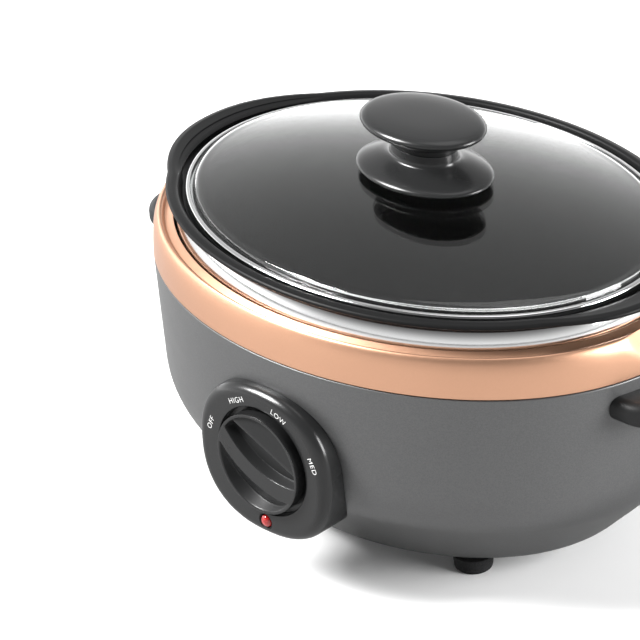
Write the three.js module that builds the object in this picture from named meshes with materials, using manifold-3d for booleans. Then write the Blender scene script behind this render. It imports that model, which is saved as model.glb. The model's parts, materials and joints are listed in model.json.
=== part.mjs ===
// Oval slow cooker with a lift-out pot, a glass lid, and a rotary dial on the front.
// Millimetres, +Z up, +X along the oval, the dial on the -Y side.
// The origin is on the ground, under the centre of the cooker's box.
import * as THREE from 'three';
import { mergeVertices } from 'three/addons/utils/BufferGeometryUtils.js';
import Module from 'manifold-3d';

const wasm = await Module();
wasm.setup();

// Driving dimensions. An oval is [half length, half width].
const gap = 0.3;
const ovalSegments = 32;
const roundSegments = 24;
const smallSegments = 10;

const trimOval = [149.2, 114.1];
const collarOval = [135.8, 105];
const flangeOval = [141, 106.8];
const lidOval = [130, 98.3];
const potMouth = [124, 92];

const lidRimHeight = 158;
const trimBottom = 124.5;
const casingBottom = 10;
const feetHeight = 7.9;
const steelWall = 1.6;

const earReach = 7.6;
const earHalfWidth = 53;
const earPower = 2.6;

const dialRadius = 25.7;
const dialHeight = 70.9;
const dialReach = 124;
const bezelOval = [41.8, 39.3];
const bezelPower = 2.35;
const bezelCentre = [-1.2, 69.1];
const bezelReach = 120.2;
const lensHeight = dialHeight - 33;

const handleReach = 169;
const handleHalfWidth = 33.5;
const handleHeight = 111.3;
const handleThickness = 12.6;

const centreShift = (dialReach - trimOval[1]) / 2;

// Finishes
function finish(color, roughness, metalness) {
  return { color, roughness, metalness };
}

const greyPaint = finish(0x7d7e80, 0.45, 0.3);
const roseGold = finish(0xdca684, 0.35, 0.6);
const polishedSteel = finish(0xd4d5d6, 0.12, 1.0);
const plainSteel = finish(0xa5a7a9, 0.4, 1.0);
const nonStick = finish(0x3a3b3c, 0.5, 0.2);
const glass = finish(0x9aa0a2, 0.05, 0.0);
const greyPlastic = finish(0x515356, 0.5, 0.0);
const blackPlastic = finish(0x2b2c2e, 0.55, 0.0);
const redPlastic = finish(0xc8281e, 0.2, 0.0);
const rubber = finish(0x1d1d1e, 0.8, 0.0);
const mica = finish(0xb9a98a, 0.7, 0.0);
const palePlastic = finish(0xe6e3da, 0.5, 0.0);
const redInsulation = finish(0xb0413a, 0.6, 0.0);
const blueInsulation = finish(0x3e6fae, 0.6, 0.0);
const greenInsulation = finish(0x6b9a3a, 0.6, 0.0);

const cooker = new THREE.Group();
cooker.position.y = centreShift;

// Turns a closed surface into a solid: shared corners merged, empty faces dropped, faces pointing out.
function solid(geometry) {
  const bare = new THREE.BufferGeometry();
  bare.setAttribute('position', geometry.attributes.position);
  bare.setIndex(geometry.index);
  const merged = mergeVertices(bare, 1e-4);
  const vertices = merged.attributes.position.array;
  const corners = [];
  let volume = 0;
  for (let i = 0; i < merged.index.count; i += 3) {
    const [a, b, c] = [0, 1, 2].map((k) => merged.index.getX(i + k));
    if (a === b || b === c || c === a) {
      continue;
    }
    const [p, q, r] = [a, b, c].map((k) => new THREE.Vector3().fromArray(vertices, 3 * k));
    volume += p.dot(q.cross(r));
    corners.push([a, b, c]);
  }
  const triangles = corners.flatMap(([a, b, c]) => (volume < 0 ? [a, c, b] : [a, b, c]));
  const mesh = new wasm.Mesh({
    numProp: 3,
    vertProperties: new Float32Array(vertices),
    triVerts: new Uint32Array(triangles),
  });
  return new wasm.Manifold(mesh);
}

function addPiece(name, body, look) {
  const { vertProperties, triVerts } = body.getMesh();
  const geometry = new THREE.BufferGeometry();
  geometry.setAttribute('position', new THREE.BufferAttribute(vertProperties, 3));
  geometry.setIndex(new THREE.BufferAttribute(triVerts, 1));
  geometry.computeVertexNormals();
  const mesh = new THREE.Mesh(geometry, new THREE.MeshStandardMaterial(look));
  mesh.name = name;
  cooker.add(mesh);
}

// Stretch of a circle in a profile, as [distance, height] points. Angles are in degrees.
function arc(distance, height, radius, from, to, steps) {
  return Array.from({ length: steps + 1 }, (_, i) => {
    const angle = THREE.MathUtils.degToRad(from + (to - from) * i / steps);
    return [distance + radius * Math.cos(angle), height + radius * Math.sin(angle)];
  });
}

// Oval body from rings of [half length, half width, height]. reach adds to a ring's length at each end,
// and a power over 2 makes the oval squarer.
function ovalBody(rings, segments = ovalSegments, reach = () => 0, power = 2) {
  const squared = (value) => Math.sign(value) * Math.abs(value) ** (2 / power);
  const outline = rings.map(([long, , height]) => new THREE.Vector2(long, height));
  const geometry = new THREE.LatheGeometry(outline, segments);
  const position = geometry.attributes.position;
  for (let i = 0; i < position.count; i += 1) {
    const [long, short, height] = rings[i % rings.length];
    const angle = 2 * Math.PI * Math.floor(i / rings.length) / segments;
    const y = short * squared(Math.sin(angle));
    const x = long * squared(Math.cos(angle));
    position.setXYZ(i, x + Math.sign(Math.round(x)) * reach(i % rings.length, y), y, height);
  }
  return solid(geometry);
}

function closedLoop(rings) {
  return [...rings, rings[0]];
}

// Round body about Z from [radius, height] points.
function roundBody(profile, segments = roundSegments) {
  return ovalBody(profile.map(([radius, height]) => [radius, radius, height]), segments);
}

function cylinder(radius, low, high, segments = roundSegments) {
  return roundBody([[0, low], [radius, low], [radius, high], [0, high]], segments);
}

function tubeRing(inner, outer, low, high, segments = roundSegments) {
  return roundBody(closedLoop([[inner, low], [outer, low], [outer, high], [inner, high]]), segments);
}

function hexNut(bore, radius, low, high) {
  return cylinder(radius, low, high, 6).subtract(cylinder(bore, low - 1, high + 1, 16));
}

function box(width, depth, height) {
  return solid(new THREE.BoxGeometry(width, depth, height));
}

// Stands a body made about Z so that its top faces the front, and puts its axis at x, z.
function facingFront(body, x, z) {
  return body.rotate([90, 0, 0]).translate([x, 0, z]);
}

function facingBack(body, x, z) {
  return body.rotate([-90, 0, 0]).translate([x, 0, z]);
}

function facingSide(body, side, y, z) {
  return body.rotate([0, side * 90, 0]).translate([0, y, z]);
}

// Casing
const wallTaper = 3;
const wallBend = 68.5;
const wallAngle = 3;
const shoulderRadius = 36;
const coneAngle = 45;
const heelRadius = 28;
const heelInset = 60;
const openingInset = 68;
const widthRatio = 0.83;

function sideRing(inset, height) {
  return [trimOval[0] - inset, trimOval[1] - widthRatio * inset, height];
}

// The casing's surface from its top edge to its bottom opening, moved inwards by depth.
function casingSurface(depth) {
  const tilt = THREE.MathUtils.degToRad(wallAngle);
  const shoulderInset = wallTaper + shoulderRadius * Math.cos(tilt);
  const shoulderHeight = wallBend + shoulderRadius * Math.sin(tilt);
  const shoulder = arc(shoulderInset, shoulderHeight, depth - shoulderRadius, wallAngle, coneAngle, 4);
  const heel = arc(heelInset, casingBottom + heelRadius, depth - heelRadius, coneAngle, 90, 3);
  const line = [[depth, trimBottom - gap], ...shoulder, ...heel, [openingInset, casingBottom + depth]];
  return line.map(([inset, height]) => sideRing(inset, height));
}

function casingCore(clearance) {
  const surface = casingSurface(-clearance);
  const top = surface[0][2];
  const bottom = surface.at(-1)[2];
  return ovalBody([[0, 0, top], ...surface, [0, 0, bottom]]);
}

const core = casingCore(gap);
const handleScrewSpread = 19;
const bezelScrewSpread = 34;
const lampHoleHeight = 53.5;
const glandHeight = 66;
const footSpots = { front_left: [-62, -43], front_right: [62, -43], rear_left: [-62, 43], rear_right: [62, 43] };
const footHole = 2;

function makeCasing() {
  const shell = ovalBody(closedLoop([...casingSurface(0), ...casingSurface(steelWall).reverse()]));
  const holes = [
    facingFront(cylinder(5, 90, 120, smallSegments), 0, dialHeight),
    facingFront(cylinder(2.4, 90, 120, smallSegments), 0, lampHoleHeight),
    facingBack(cylinder(6.9, 90, 120, 24), 0, glandHeight),
  ];
  for (const side of [-1, 1]) {
    holes.push(facingFront(cylinder(2.1, 90, 120, smallSegments), side * bezelScrewSpread, dialHeight));
    for (const y of [-handleScrewSpread, handleScrewSpread]) {
      holes.push(facingSide(cylinder(2.1, 130, 155, smallSegments), side, y, handleHeight));
    }
  }
  for (const [x, y] of Object.values(footSpots)) {
    holes.push(cylinder(footHole, 0, 30, smallSegments).translate([x, y, 0]));
  }
  return holes.reduce((body, hole) => body.subtract(hole), shell);
}

addPiece('casing', makeCasing(), greyPaint);

// Trim band: share 0 is its outer face, share 1 the collar's wall.
function bandRing(share, height) {
  const [long, short] = trimOval.map((half, i) => half + (collarOval[i] - half) * share);
  return [long, short, height];
}

const scoopRadius = 95;
const scoopTilt = 62;
const scoopReach = 140.2;
const scoopTop = 144.5;

function makeTrimBand() {
  const outside = [[0, trimBottom + gap], [0.03, 133], [0.08, 138.5], [0.16, 142], [0.27, 144.2], [0.38, 144.9],
    [0.48, 143.9]];
  const groove = [[0.56, 142.4], [0.93, 145]];
  const inside = [[0.93, 142.6], [0.75, 139], [0.62, 134], [0.62, 118.5], [0.23, 118.5], [0.23, trimBottom + gap]];
  const profile = [...outside, ...groove, ...inside].map(([share, height]) => bandRing(share, height));
  let body = ovalBody(closedLoop(profile));
  const barrel = cylinder(scoopRadius, -60, 60, 48).translate([scoopRadius, 0, 0]);
  const scoop = barrel.rotate([0, scoopTilt - 90, 0]).translate([scoopReach, 0, scoopTop]);
  for (const cut of [scoop, scoop.rotate([0, 0, 180])]) {
    body = body.subtract(cut);
  }
  return body;
}

addPiece('trim_band', makeTrimBand(), roseGold);

// Collar: a rolled steel ring, open below.
function collarRing(offset, height) {
  return [collarOval[0] + offset, collarOval[1] + offset, height];
}

function makeRimRing() {
  const outside = [[0, 143.4], [-0.4, 146.6], [-1.5, 150.2], [-2.6, 152.7], [-3.5, 153.6], [-4.4, 152.8], [-4.8, 150.8]];
  const inside = [[-4.8, 141], [-3.8, 141], [-3.8, 150.6], [-3.4, 151.9], [-2.6, 150.3], [-1.5, 146.6], [-1.1, 143.4]];
  return ovalBody(closedLoop([...outside, ...inside].map(([offset, height]) => collarRing(offset, height))));
}

addPiece('rim_ring', makeRimRing(), polishedSteel);

// Liner: its wall tapers between two ovals.
const linerTop = [130.4, 99.6, 148];
const linerHeel = [117.5, 85, 60];
const linerCorner = 20;
const linerSheet = 1;

function linerRing(height, offset) {
  const share = (linerTop[2] - height) / (linerTop[2] - linerHeel[2]);
  const [long, short] = [0, 1].map((i) => linerTop[i] + (linerHeel[i] - linerTop[i]) * share + offset);
  return [long, short, height];
}

function linerSurface(depth) {
  const corner = arc(-linerCorner, linerHeel[2], linerCorner - depth, 0, -90, 4);
  const turn = corner.map(([inset, height]) => [linerHeel[0] + inset, linerHeel[1] + inset, height]);
  return [linerRing(linerTop[2], -depth), ...turn, [0, 0, linerHeel[2] - linerCorner + depth]];
}

addPiece('liner', ovalBody([...linerSurface(0).reverse(), ...linerSurface(linerSheet)]), plainSteel);

// Heating band and its strap, around the liner
function linerHoop(low, high, inner, outer) {
  const rings = [linerRing(low, inner), linerRing(low, outer), linerRing(high, outer), linerRing(high, inner)];
  return ovalBody(closedLoop(rings));
}

const heaterLow = 90;
const heaterHigh = 116;
const heaterThickness = 2.2;
const strapStart = heaterThickness + 2 * gap;
addPiece('heater_band', linerHoop(heaterLow, heaterHigh, gap, gap + heaterThickness), mica);
addPiece('heater_strap', linerHoop(99, 107, strapStart, strapStart + 1), plainSteel);

// Bottom: bracket, centre bolt, cover and feet
const linerFloor = linerHeel[2] - linerCorner;
const bracketDrop = 10;
const bracketHalf = 38;
const boltRadius = 2.5;

function makeBracket() {
  const outline = new THREE.Shape();
  const top = linerFloor - gap;
  outline.moveTo(-bracketHalf, top);
  outline.lineTo(-bracketHalf, top - 1.5);
  outline.lineTo(-22, top - 1.5);
  outline.lineTo(-16, top - bracketDrop);
  outline.lineTo(16, top - bracketDrop);
  outline.lineTo(22, top - 1.5);
  outline.lineTo(bracketHalf, top - 1.5);
  outline.lineTo(bracketHalf, top);
  outline.lineTo(21.2, top);
  outline.lineTo(15.2, top + 1.5 - bracketDrop);
  outline.lineTo(-15.2, top + 1.5 - bracketDrop);
  outline.lineTo(-21.2, top);
  const strip = solid(new THREE.ExtrudeGeometry(outline, { depth: 20, bevelEnabled: false }));
  const upright = strip.rotate([90, 0, 0]).translate([0, 10, 0]);
  return upright.subtract(cylinder(boltRadius + gap, 20, 45, smallSegments));
}

const coverOval = [88, 62];
const coverLow = feetHeight + gap;
const coverHigh = casingBottom - gap;

function makeCover() {
  const plate = ovalBody([[0, 0, coverLow], [...coverOval, coverLow], [...coverOval, coverHigh], [0, 0, coverHigh]]);
  let cover = plate.subtract(cylinder(boltRadius + gap, 0, 20, smallSegments));
  for (const [x, y] of Object.values(footSpots)) {
    cover = cover.subtract(cylinder(footHole, 0, 20, smallSegments).translate([x, y, 0]));
  }
  return cover;
}

addPiece('liner_bracket', makeBracket(), plainSteel);
addPiece('centre_bolt', roundBody([[0, 5], [5.5, 5], [5.5, feetHeight], [boltRadius, feetHeight],
  [boltRadius, 36], [0, 36]], smallSegments), plainSteel);
addPiece('bottom_cover', makeCover(), plainSteel);

for (const [spot, [x, y]] of Object.entries(footSpots)) {
  const foot = roundBody(closedLoop([[4.6, 0], [8.4, 0], [9.4, 1], [10, feetHeight], [footHole, feetHeight], [footHole, 4.6],
    [4.6, 4.6]]), 16);
  const screw = roundBody([[0, 2], [3.8, 2], [4.2, 3], [4.2, 4.3], [1.6, 4.3], [1.6, 18], [0, 18]], smallSegments);
  addPiece(`foot_${spot}`, foot.translate([x, y, 0]), rubber);
  addPiece(`foot_screw_${spot}`, screw.translate([x, y, 0]), plainSteel);
}

// Control housing
const bezelEdge = 5;
const bezelWall = 2.5;
const plateDepth = 7.5;
const recessDepth = 5;
const recessRadius = 28.2;
const lensRadius = 3.2;
const frontWall = 107.5;

function makeBezel() {
  const outline = (profile) => {
    const rings = profile.map(([inset, y]) => {
      return inset === null ? [0, 0, y] : [bezelOval[0] - inset, bezelOval[1] - inset, y];
    });
    return facingFront(ovalBody(rings, 40, () => 0, bezelPower), ...bezelCentre);
  };
  const edge = arc(bezelEdge, bezelReach - bezelEdge, -bezelEdge, 0, -90, 4);
  const blank = outline([[null, 80], [0, 80], ...edge, [null, bezelReach]]);
  const plateBack = bezelReach - plateDepth;
  const hollow = outline([[null, 70], [bezelWall, 70], [bezelWall, plateBack], [null, plateBack]]);
  const post = cylinder(4.2, 100, plateBack + 1, 16);
  let body = blank.subtract(hollow);
  for (const side of [-1, 1]) {
    body = body.add(facingFront(post, side * bezelScrewSpread, dialHeight));
  }
  body = body.subtract(core);
  const cuts = [
    facingFront(cylinder(recessRadius, bezelReach - recessDepth, 130, 36), 0, dialHeight),
    facingFront(cylinder(5.2, 100, 130, 16), 0, dialHeight),
    facingFront(cylinder(9.5, 100, 114.2, 24), 0, dialHeight),
    facingFront(cylinder(lensRadius + gap, 100, 130, 16), 0, lensHeight),
  ];
  for (const side of [-1, 1]) {
    cuts.push(facingFront(cylinder(1.9, 100, 115.8, smallSegments), side * bezelScrewSpread, dialHeight));
  }
  return cuts.reduce((result, cut) => result.subtract(cut), body);
}

addPiece('bezel', makeBezel(), greyPlastic);

for (const [name, side] of [['left', -1], ['right', 1]]) {
  const inside = frontWall - steelWall - gap;
  const screw = roundBody([[0, inside - 2], [3.4, inside - 2], [3.4, inside], [1.6, inside], [1.6, 115.2],
    [0, 115.2]], smallSegments);
  addPiece(`bezel_screw_${name}`, facingFront(screw, side * bezelScrewSpread, dialHeight), plainSteel);
}

// Rotary switch, with its nut in front of the casing wall
const switchFront = 106.7;
const switchDepth = 13;
const shaftRadius = 3;
const shaftReach = 118;

function makeSwitch() {
  const block = box(30, switchDepth, 28).translate([0, switchDepth / 2 - switchFront, dialHeight]);
  const bush = facingFront(cylinder(4.6, switchFront - 3, 114, 16), 0, dialHeight);
  const bore = facingFront(cylinder(shaftRadius + gap, switchFront - 10.5, 130, 16), 0, dialHeight);
  return block.add(bush).subtract(bore);
}

addPiece('switch_body', makeSwitch(), palePlastic);
addPiece('switch_nut', facingFront(hexNut(4.9, 8.5, 112.2, 113.8), 0, dialHeight), plainSteel);
addPiece('switch_shaft', facingFront(cylinder(shaftRadius, switchFront - 10, shaftReach, 16), 0, dialHeight), plainSteel);

// Dial: a bowed grip bar between two sunk fields. The bar's edges are circles about bowCentre, and each
// field slopes from a crease at its deepest. fieldAngle is square to the upper crease.
const dialBack = bezelReach - recessDepth + gap;
const dialEdge = 0.9;
const fieldDepth = 4.4;
const fieldRadius = 24.3;
const fieldAngle = 66.5;
const bowDistance = 44.2;
const barUpperRadius = 46.3;
const barLowerRadius = 55.1;
const upperCrease = 6.5;
const lowerCrease = 21.2;

// Half space above a floor that is at full depth at distance deep and at the face at distance shallow.
function aboveFloor(deep, shallow) {
  const slope = THREE.MathUtils.radToDeg(Math.atan2(fieldDepth, shallow - deep));
  const block = box(120, 120, 60).translate([0, 0, 30]).rotate([0, -slope, 0]);
  return block.translate([shallow, 0, dialReach]);
}

function makeDial() {
  const floor = dialReach - fieldDepth;
  const edge = arc(dialRadius - dialEdge, dialReach - dialEdge, dialEdge, 0, 90, 2);
  const disc = roundBody([[0, dialBack], [dialRadius, dialBack], ...edge, [0, dialReach]], 32);
  const rim = cylinder(fieldRadius, floor, 130, 32);
  const barWall = roundBody([[0, floor], [bowDistance - upperCrease, floor], [barUpperRadius, dialReach],
    [barUpperRadius, 130], [0, 130]], 64).translate([bowDistance, 0, 0]);
  const upper = rim.intersect(barWall).intersect(aboveFloor(upperCrease, fieldRadius + 1));
  const rimWall = roundBody([[0, floor], [lowerCrease, floor], [fieldRadius, dialReach], [fieldRadius, 130], [0, 130]],
    32);
  const bar = cylinder(barLowerRadius, floor - 1, 131, 64).translate([bowDistance, 0, 0]);
  const lower = rimWall.subtract(bar).intersect(aboveFloor(-lowerCrease, bowDistance - barLowerRadius));
  const socket = cylinder(shaftRadius + gap, 100, shaftReach + gap, 16);
  return facingFront(disc.subtract(upper.add(lower).rotate([0, 0, fieldAngle])).subtract(socket), 0, dialHeight);
}

addPiece('dial_knob', makeDial(), greyPlastic);

// Pilot light
const lens = roundBody([[0, 111], [lensRadius, 111], [lensRadius, 120.2], [2.4, 121], [0, 121.3]], 16);
addPiece('indicator_lens', facingFront(lens, 0, lensHeight), redPlastic);
const lamp = roundBody([[0, 99.6], [2, 99.9], [2.5, 101], [2.5, 108], [1.6, 110], [0, 110.5]], smallSegments);
addPiece('neon_lamp', facingFront(lamp, 0, lensHeight), glass);

// Handles: plan outline run up in height, with all edges rounded and a finger hollow below
const handleCorner = 18;
const handleRound = 5.2;

function handleOutline(shrink) {
  const reach = handleReach - shrink;
  const half = handleHalfWidth - shrink;
  const corner = handleCorner - shrink;
  const outline = new THREE.Shape();
  outline.moveTo(120, -half);
  outline.lineTo(reach - corner, -half);
  outline.absarc(reach - corner, corner - half, corner, -Math.PI / 2, 0, false);
  outline.absarc(reach - corner, half - corner, corner, 0, Math.PI / 2, false);
  outline.lineTo(120, half);
  return outline;
}

function makeHandle(side) {
  const rise = handleThickness - 2 * handleRound;
  const shape = { depth: rise, curveSegments: 3, bevelSegments: 2, bevelSize: handleRound };
  const block = new THREE.ExtrudeGeometry(handleOutline(handleRound), { ...shape, bevelThickness: handleRound });
  block.translate(0, 0, handleHeight - rise / 2);
  const hollow = new THREE.ExtrudeGeometry(handleOutline(5), { depth: 8.6, curveSegments: 3, bevelEnabled: false });
  hollow.translate(0, 0, handleHeight - handleThickness / 2 - 1);
  let body = solid(block);
  const posts = [-handleScrewSpread, handleScrewSpread].map((y) => {
    return box(30, 9, 9).translate([140, y, handleHeight - 1]);
  });
  const scoop = posts.reduce((pocket, post) => pocket.subtract(post), solid(hollow));
  body = body.subtract(scoop);
  if (side < 0) {
    body = body.rotate([0, 0, 180]);
  }
  body = body.subtract(core);
  for (const y of [-handleScrewSpread, handleScrewSpread]) {
    body = body.subtract(facingSide(cylinder(2, 130, 153, smallSegments), side, y, handleHeight));
  }
  return body;
}

for (const [name, side] of [['left', -1], ['right', 1]]) {
  addPiece(`handle_${name}`, makeHandle(side), blackPlastic);
  for (const [row, y] of [['front', -handleScrewSpread], ['rear', handleScrewSpread]]) {
    const screw = roundBody([[0, 141.2], [3.5, 141.2], [3.5, 143.2], [1.7, 143.2], [1.7, 152.6], [0, 152.6]],
      smallSegments);
    addPiece(`handle_screw_${name}_${row}`, facingSide(screw, side, y, handleHeight), plainSteel);
  }
}

// Cord outlet at the back, held by a nut inside
const outletRadius = 3.6;

function makeGland() {
  const profile = closedLoop([[outletRadius, 102], [6.4, 102], [6.4, 112.3], [9.4, 112.3], [9.4, 113],
    [8, 114], [outletRadius, 114]]);
  return facingBack(roundBody(profile, 16), 0, glandHeight);
}

addPiece('cord_gland', makeGland(), blackPlastic);
addPiece('gland_nut', facingBack(hexNut(6.8, 10, 103.6, 106.9), 0, glandHeight), palePlastic);

// Terminal block, thermal cut-out and its clip, on the liner's rear side
const blockSpot = [28, 94, 60];
const fuseSpot = [-30, 90.5, 78];
addPiece('terminal_block', box(30, 11, 12).translate(blockSpot), palePlastic);

function alongX(radius, length) {
  return cylinder(radius, -length / 2, length / 2, smallSegments).rotate([0, 90, 0]);
}

addPiece('thermal_fuse', alongX(2, 14).translate(fuseSpot), palePlastic);
addPiece('fuse_clip', alongX(3.2, 6).subtract(alongX(2.3, 10)).subtract(box(20, 8, 3).translate([0, -4, 0]))
  .translate(fuseSpot), plainSteel);

// Wires, each along its route inside the casing
function wire(name, points, radius, look, steps) {
  const section = new THREE.Shape().absarc(0, 0, radius, 0, 2 * Math.PI, false);
  const route = new THREE.CatmullRomCurve3(points.map((point) => new THREE.Vector3(...point)));
  const tube = { steps, curveSegments: 4, bevelEnabled: false, extrudePath: route };
  addPiece(name, solid(new THREE.ExtrudeGeometry(section, tube)), look);
}

// Points on the oval midway between the liner and the casing.
function roundTheLiner(from, to, startHeight, endHeight, count) {
  return Array.from({ length: count }, (_, i) => {
    const share = i / (count - 1);
    const angle = THREE.MathUtils.degToRad(from + (to - from) * share);
    return [132 * Math.cos(angle), 98.5 * Math.sin(angle), startHeight + (endHeight - startHeight) * share];
  });
}

const wireRadius = 1.2;
wire('live_wire', [[12.2, 94, 61], [4, 94, 65], [-8, 93, 73], [-15, 91, 77.4], [-22.4, 90.5, 78]], wireRadius,
  redInsulation, 12);
wire('fuse_wire', [[-37.6, 90.5, 78], [-46, 91, 78], ...roundTheLiner(120, 250, 77, 74, 9), [-24, -101.5, 74],
  [-15.5, -101.5, 74]], wireRadius, redInsulation, 26);
wire('heater_wire', [[15.5, -101.5, 74], [26, -101, 75], [40, -96, 80], [56, -85.6, 89]], wireRadius, redInsulation, 10);
wire('neutral_wire', [[43.8, 94, 61], [52, 91, 62], ...roundTheLiner(60, -30, 64, 76, 7),
  [111, -51.6, 88.6]], wireRadius, blueInsulation, 22);
wire('earth_wire', [[28, 94, 53.2], [27.5, 92.5, 48], [22, 80, 33], [12, 50, 24], [6, 20, 22.6], [3, 6, 22.6]],
  wireRadius, greenInsulation, 18);
wire('lamp_wire', [[0, -106.4, 42.1], [0, -109, 45.6], [0, -110, 49.4], [0, -109.4, 52.4], [0, -106, 53.8],
  [0, -103, 54.6], [0, -101.4, 55.8]], 1, redInsulation, 12);

// Pot: cast wall with a seat for the lid, a wide flange and an ear at each long end
const potHeel = [113.9, 81.5];
const potHeelHeight = 80;
const potCorner = 34;
const potWall = 2.4;
const seatHeight = lidRimHeight - 3.4;

function makePot() {
  const turn = (depth) => arc(-potCorner, potHeelHeight, potCorner - depth, -90, 0, 5)
    .map(([inset, height]) => [potHeel[0] + inset, potHeel[1] + inset, height]);
  const floor = potHeelHeight - potCorner;
  const inner = [[0, 0, floor], ...turn(0), [...potMouth, 152.5], [124.6, 92.6, seatHeight]];
  const seat = [[131.8, 99.9, seatHeight], [134, 101, 158.6], [135.8, 101.7, 159.4]];
  const flange = [[137.4, 103.3, 159.6], [140.1, 105.9, 159], [...flangeOval, 157.7], [140.1, 105.9, 156.4],
    [137.5, 104.2, 156.2]];
  const seating = [[136.5, 103.4, 153.9], [130.4, 99.4, 153.9], [129.8, 98.4, 152.3], [126.6, 94.6, 152.3]];
  const outer = turn(-potWall).reverse();
  const rings = [...inner, ...seat, ...flange, ...seating, [126.4, 94.4, 150], ...outer, [0, 0, floor - potWall]];
  const first = inner.length + seat.length;
  const weight = (ring) => [0.6, 1, 1, 1, 0.7][ring - first] ?? 0;
  const bulge = (y) => earReach * Math.max(0, 1 - (Math.abs(y) / earHalfWidth) ** earPower);
  return ovalBody(rings, ovalSegments, (ring, y) => weight(ring) * bulge(y));
}

addPiece('cooking_pot', makePot(), nonStick);

// Lid: glass dome held at its edge by a steel ring
const domeOval = [123, 91.4];
const domeTop = 175.5;
const domeFoot = 162;
const glassSheet = 4;

function domeRings(drop) {
  return [0, 0.3, 0.55, 0.8, 1].map((share) => {
    const height = domeTop - (domeTop - domeFoot) * share ** 2 - drop;
    return [domeOval[0] * share, domeOval[1] * share, height];
  });
}

function makeGlass() {
  const top = [...domeRings(0), [125.2, 93.6, 160.4], [126.1, 94.5, 158.1], [128.8, 97.1, 158]];
  const under = [...domeRings(glassSheet), [123.9, 92.3, 156.6], [124.8, 93.2, 155.9], [128.8, 97.1, 155.9]];
  return ovalBody([...top, ...under.reverse()]).subtract(cylinder(4, 160, 180, 16));
}

function makeLidRim() {
  return ovalBody(closedLoop([[129.4, 97.7, 155], [...lidOval, 155.8], [...lidOval, 158.2], [129.2, 97.5, 158.9],
    [126.8, 95.1, 159], [126.4, 94.7, 158.4], [129.2, 97.5, 158.3], [129.2, 97.5, 155.6], [126.4, 94.7, 155.6],
    [126.4, 94.7, 155]]));
}

addPiece('lid_glass', makeGlass(), glass);
addPiece('lid_rim', makeLidRim(), polishedSteel);

// Lid knob: two oval tiers on a waist, fixed by a screw from below
const skirtOval = [37.6, 26.7];
const capOval = [34.3, 24.8];
const waistOval = [18.2, 12.8];

function scaled(oval, share, height) {
  return [oval[0] * share, oval[1] * share, height];
}

function makeSkirt() {
  const rings = [scaled(skirtOval, 0, 176.7), scaled(skirtOval, 0.94, 176.7), scaled(skirtOval, 0.99, 177.3),
    scaled(skirtOval, 1, 178.2), scaled(skirtOval, 0.975, 179.3), scaled(skirtOval, 0.9, 180.5),
    scaled(skirtOval, 0.75, 182.2), scaled(skirtOval, 0.58, 183.7), scaled(waistOval, 1.06, 184.9),
    scaled(waistOval, 1, 186.4), scaled(waistOval, 1, 190.8), scaled(waistOval, 0, 190.8)];
  return ovalBody(rings, 28).subtract(cylinder(2.7, 170, 187.3, smallSegments));
}

function makeCap() {
  const rings = [scaled(waistOval, 0, 191.1), scaled(waistOval, 1, 191.1), scaled(waistOval, 1.04, 194.4),
    scaled(capOval, 0.68, 197.2), scaled(capOval, 0.9, 199.8), scaled(capOval, 0.985, 201.4),
    scaled(capOval, 1, 202.6), scaled(capOval, 0.97, 203.8), scaled(capOval, 0.88, 204.9),
    scaled(capOval, 0.6, 206), scaled(capOval, 0, 206.5)];
  return ovalBody(rings, 28);
}

addPiece('knob_skirt', makeSkirt(), greyPlastic);
addPiece('knob_cap', makeCap(), greyPlastic);
addPiece('knob_gasket', tubeRing(4.2, 14, 175.8, 176.4, 24), rubber);
addPiece('lid_washer', tubeRing(2.8, 9, 170, 171.1, 20), plainSteel);
addPiece('lid_screw', roundBody([[0, 167.2], [3.6, 167.2], [4.6, 168.2], [4.6, 169.7], [2.4, 169.7], [2.4, 186.6],
  [0, 186.6]], smallSegments), plainSteel);

export default cooker;
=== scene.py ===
import json
import math
import bmesh
import bpy
from mathutils import Matrix, Vector


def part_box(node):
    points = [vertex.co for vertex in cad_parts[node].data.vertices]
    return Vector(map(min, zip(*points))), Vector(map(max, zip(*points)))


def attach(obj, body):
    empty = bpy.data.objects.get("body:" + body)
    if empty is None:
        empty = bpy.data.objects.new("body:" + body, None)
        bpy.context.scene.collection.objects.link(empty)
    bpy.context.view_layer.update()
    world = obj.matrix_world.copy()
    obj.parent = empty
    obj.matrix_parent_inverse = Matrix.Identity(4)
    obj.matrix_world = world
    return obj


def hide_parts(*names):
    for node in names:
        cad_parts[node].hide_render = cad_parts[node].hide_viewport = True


# Oval slow cooker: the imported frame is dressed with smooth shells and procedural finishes.
# Shapes are worked out in millimetres about the cooker's oval, then placed in metres.

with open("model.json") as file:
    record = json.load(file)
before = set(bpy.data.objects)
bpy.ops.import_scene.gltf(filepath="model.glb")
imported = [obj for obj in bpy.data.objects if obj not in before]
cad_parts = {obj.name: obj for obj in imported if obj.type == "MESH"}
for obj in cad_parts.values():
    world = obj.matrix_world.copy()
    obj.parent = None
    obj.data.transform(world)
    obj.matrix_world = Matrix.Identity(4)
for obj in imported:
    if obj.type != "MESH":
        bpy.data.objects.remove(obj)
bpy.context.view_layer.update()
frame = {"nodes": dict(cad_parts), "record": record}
nodes = frame["nodes"]
scene = bpy.context.scene
mm = 0.001


def nodeBox(name):
    low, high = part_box(name)
    return low / mm, high / mm


casingLow, casingHigh = nodeBox("casing")
trimHigh = nodeBox("trim_band")[1]
collarHigh = nodeBox("rim_ring")[1]
lidHigh = nodeBox("lid_rim")[1]
glassHigh = nodeBox("lid_glass")[1]
bezelLow = nodeBox("bezel")[0]
dialLow, dialHigh = nodeBox("dial_knob")
lensLow, lensHigh = nodeBox("indicator_lens")
handleLow, handleHigh = nodeBox("handle_right")
glandLow, glandHigh = nodeBox("cord_gland")

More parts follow.
